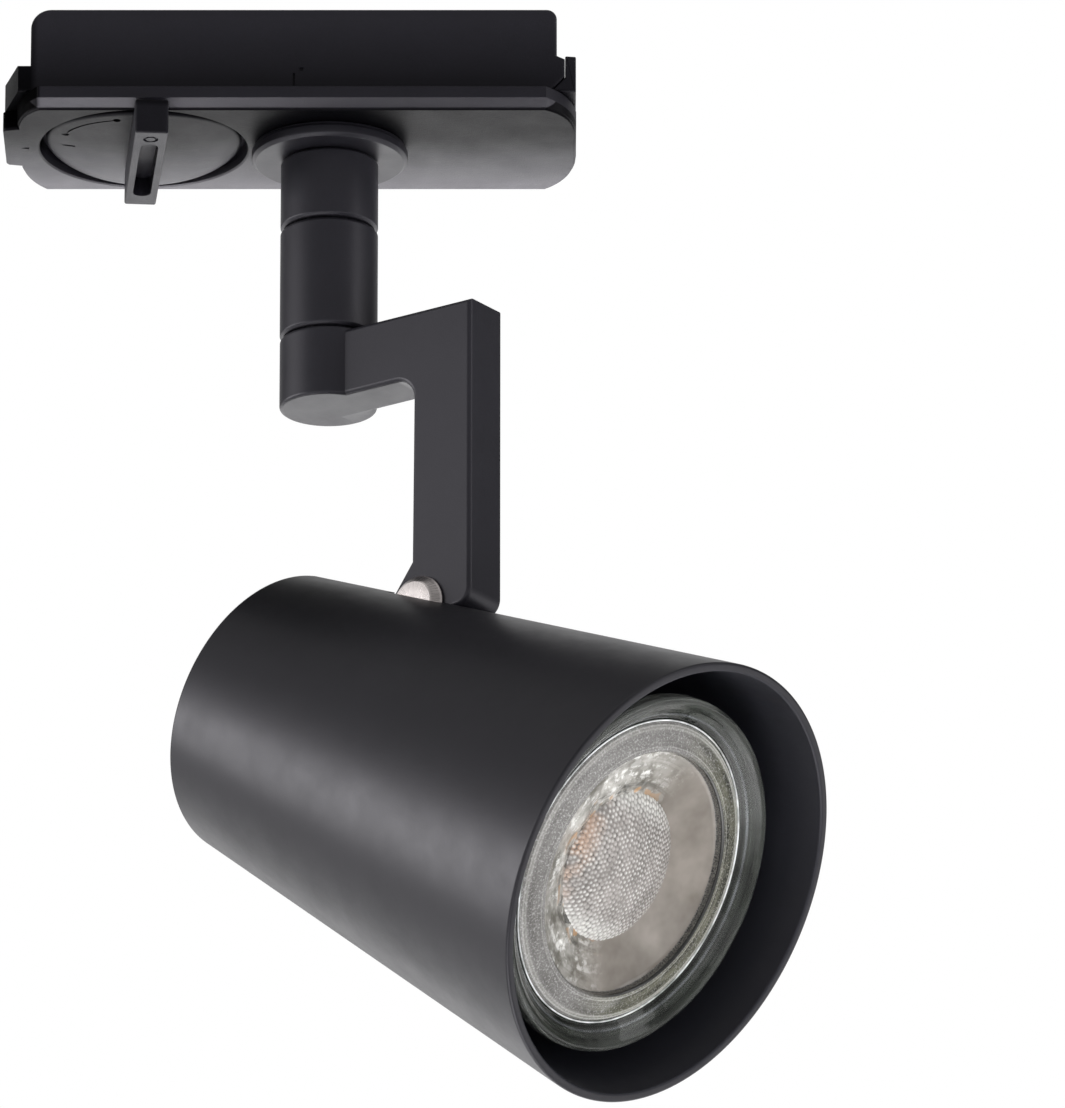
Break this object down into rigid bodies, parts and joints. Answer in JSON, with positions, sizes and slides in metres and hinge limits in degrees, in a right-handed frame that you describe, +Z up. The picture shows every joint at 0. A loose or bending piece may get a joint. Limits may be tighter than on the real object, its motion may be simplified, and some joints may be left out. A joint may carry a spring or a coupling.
{
  "type": "track spotlight",
  "caption": "Track spotlight with a plug-in adapter, locking dial, swivelling stem, cranked arm and conical tilting head with a reflector lamp.",
  "frame": {"origin": "centre of the stem's swivel axis on the top face of the track adapter, where the adapter meets the track", "axes": "+Z up into the track, +X along the adapter towards its short end, -Y towards the side the arm leaves on; the arm and head point 35 degrees from +X towards -Y at rest"},
  "size_m": [0.1135, 0.0816, 0.1613],
  "materials": {
    "black_plastic": "fine moulded texture, satin",
    "satin_black": "satin powder coat",
    "charcoal": "satin powder coat",
    "silver": "brushed nickel",
    "steel": "zinc plated",
    "brass": "plain",
    "copper": "plain",
    "insulator": "glazed ceramic and moulded insulator",
    "glass": "clear",
    "board": "white solder mask",
    "phosphor": "yellow phosphor gel"
  },
  "bodies": {
    "adapter": {"adapter_body": "black_plastic", "adapter_end_piece": "black_plastic", "adapter_cover": "black_plastic", "dial_bearing": "steel", "terminal_block": "insulator", "terminal_screw_live": "brass", "terminal_screw_neutral": "brass", "stem_flange": "charcoal", "stem_collar": "charcoal", "stem_sleeve": "charcoal", "stem_tube": "steel", "stem_nut": "steel"},
    "dial": {"lock_dial": "black_plastic", "contact_carrier": "insulator", "contact_live": "copper", "contact_neutral": "copper"},
    "bracket": {"swing_arm": "charcoal", "swivel_ring": "steel", "stop_pin": "steel", "pivot_screw": "silver", "pivot_nut": "steel", "friction_washer_a": "steel", "friction_washer_b": "steel"},
    "head": {"head_shell": "satin_black", "rear_cap": "satin_black", "holder_bridge": "steel", "lampholder": "insulator", "holder_screw_a": "steel", "holder_screw_b": "steel"},
    "lamp": {"lamp_cup": "glass", "lamp_lens": "glass", "lamp_core": "insulator", "led_board": "board", "led_chip": "phosphor", "lamp_base": "insulator", "lamp_pin_a": "steel", "lamp_pin_b": "steel"}
  },
  "joints": [
    {"name": "dial_turn", "type": "hinge", "parent": "adapter", "child": "dial", "pos_m": [-0.026, 0.0004, -0.0155], "axis": [0, 0, -1], "range_deg": [0, 95]},
    {"name": "swivel", "type": "hinge", "parent": "adapter", "child": "bracket", "pos_m": [0, 0, -0.0495], "axis": [0, 0, 1], "range_deg": [-160, 160]},
    {"name": "tilt", "type": "hinge", "parent": "bracket", "child": "head", "pos_m": [0.01499, -0.0105, -0.0883], "axis": [0.5736, 0.8192, 0], "range_deg": [-28, 60]},
    {"name": "lamp_pull", "type": "slide", "parent": "head", "child": "lamp", "axis": [0.7144, -0.5002, -0.4894], "range_m": [0, 0.065]}
  ]
}
